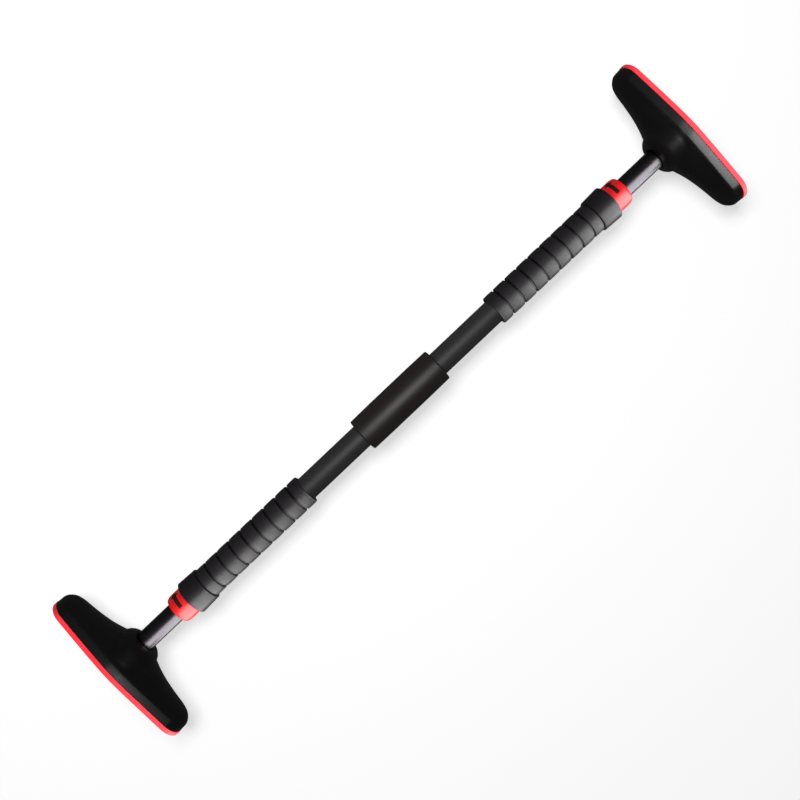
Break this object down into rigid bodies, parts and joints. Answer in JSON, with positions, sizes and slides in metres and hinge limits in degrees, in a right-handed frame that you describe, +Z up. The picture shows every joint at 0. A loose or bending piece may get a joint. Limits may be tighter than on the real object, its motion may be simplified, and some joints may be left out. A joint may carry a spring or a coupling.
{
  "type": "pull up bar",
  "caption": "Screw-out doorway pull up bar with foam grips, twist locks and wide rubber-faced feet that press against the door frame.",
  "frame": {"origin": "on the floor under the middle of the bar, as it lies on the long edges of its feet", "axes": "+X along the bar, +Y along the feet, +Z up; the bar's axis is 35 mm above the floor"},
  "size_m": [0.987, 0.225, 0.07],
  "materials": {
    "bar_tube": "charcoal satin powder coat on the steel tube",
    "rod_steel": "glossy black coating on the steel rod",
    "grip_foam": "matt closed-cell foam rubber",
    "black_plastic": "moulded black plastic, satin",
    "mark_plastic": "black inlaid arrow",
    "red_plastic": "moulded red plastic, satin",
    "pad_rubber": "soft red rubber",
    "nylon": "natural nylon",
    "zinc_steel": "zinc-plated steel",
    "brass": "turned brass"
  },
  "bodies": {
    "main_bar": {"outer_tube": "bar_tube", "centre_sleeve": "grip_foam", "left_foam_grip": "grip_foam", "left_lock_housing": "black_plastic", "left_housing_screw": "zinc_steel", "left_tube_bush": "nylon", "left_lock_collet": "nylon", "left_lead_screw": "zinc_steel", "left_anchor_plug": "zinc_steel", "left_anchor_pin": "zinc_steel", "left_stop_nut": "zinc_steel", "right_foam_grip": "grip_foam", "right_lock_housing": "black_plastic", "right_housing_screw": "zinc_steel", "right_tube_bush": "nylon", "right_lock_collet": "nylon", "right_lead_screw": "zinc_steel", "right_anchor_plug": "zinc_steel", "right_anchor_pin": "zinc_steel", "right_stop_nut": "zinc_steel"},
    "left_lock": {"left_lock_collar": "red_plastic", "left_arrow_inlay": "mark_plastic"},
    "left_guide": {"left_guide_ring": "nylon"},
    "left_leg": {"left_rod": "rod_steel", "left_drive_nut": "brass", "left_nut_screw": "zinc_steel", "left_rod_plug": "zinc_steel", "left_foot_shell": "black_plastic", "left_foot_bolt": "zinc_steel", "left_foot_washer": "zinc_steel", "left_backing_plate": "zinc_steel", "left_plate_screw_1": "zinc_steel", "left_plate_screw_2": "zinc_steel", "left_plate_screw_3": "zinc_steel", "left_plate_screw_4": "zinc_steel", "left_pad": "pad_rubber"},
    "right_lock": {"right_lock_collar": "red_plastic", "right_arrow_inlay": "mark_plastic"},
    "right_guide": {"right_guide_ring": "nylon"},
    "right_leg": {"right_rod": "rod_steel", "right_drive_nut": "brass", "right_nut_screw": "zinc_steel", "right_rod_plug": "zinc_steel", "right_foot_shell": "black_plastic", "right_foot_bolt": "zinc_steel", "right_foot_washer": "zinc_steel", "right_backing_plate": "zinc_steel", "right_plate_screw_1": "zinc_steel", "right_plate_screw_2": "zinc_steel", "right_plate_screw_3": "zinc_steel", "right_plate_screw_4": "zinc_steel", "right_pad": "pad_rubber"}
  },
  "joints": [
    {"name": "left_leg_travel", "type": "slide", "parent": "main_bar", "child": "left_guide", "axis": [-1, 0, 0], "range_m": [-0.0501, 0.0501]},
    {"name": "left_leg_screw", "type": "hinge", "parent": "left_guide", "child": "left_leg", "pos_m": [-0.26, 0, 0.035], "axis": [1, 0, 0], "range_deg": [-3600, 3600]},
    {"name": "left_lock_twist", "type": "hinge", "parent": "main_bar", "child": "left_lock", "pos_m": [-0.373, 0, 0.035], "axis": [-1, 0, 0], "range_deg": [0, 60]},
    {"name": "right_leg_travel", "type": "slide", "parent": "main_bar", "child": "right_guide", "axis": [1, 0, 0], "range_m": [-0.0501, 0.0501]},
    {"name": "right_leg_screw", "type": "hinge", "parent": "right_guide", "child": "right_leg", "pos_m": [0.26, 0, 0.035], "axis": [1, 0, 0], "range_deg": [-3600, 3600]},
    {"name": "right_lock_twist", "type": "hinge", "parent": "main_bar", "child": "right_lock", "pos_m": [0.373, 0, 0.035], "axis": [1, 0, 0], "range_deg": [0, 60]}
  ],
  "couplings": [
    {"joint": "left_leg_travel", "follows": "left_leg_screw", "m_per_rad": 0.00079577},
    {"joint": "right_leg_travel", "follows": "right_leg_screw", "m_per_rad": 0.00079577}
  ]
}
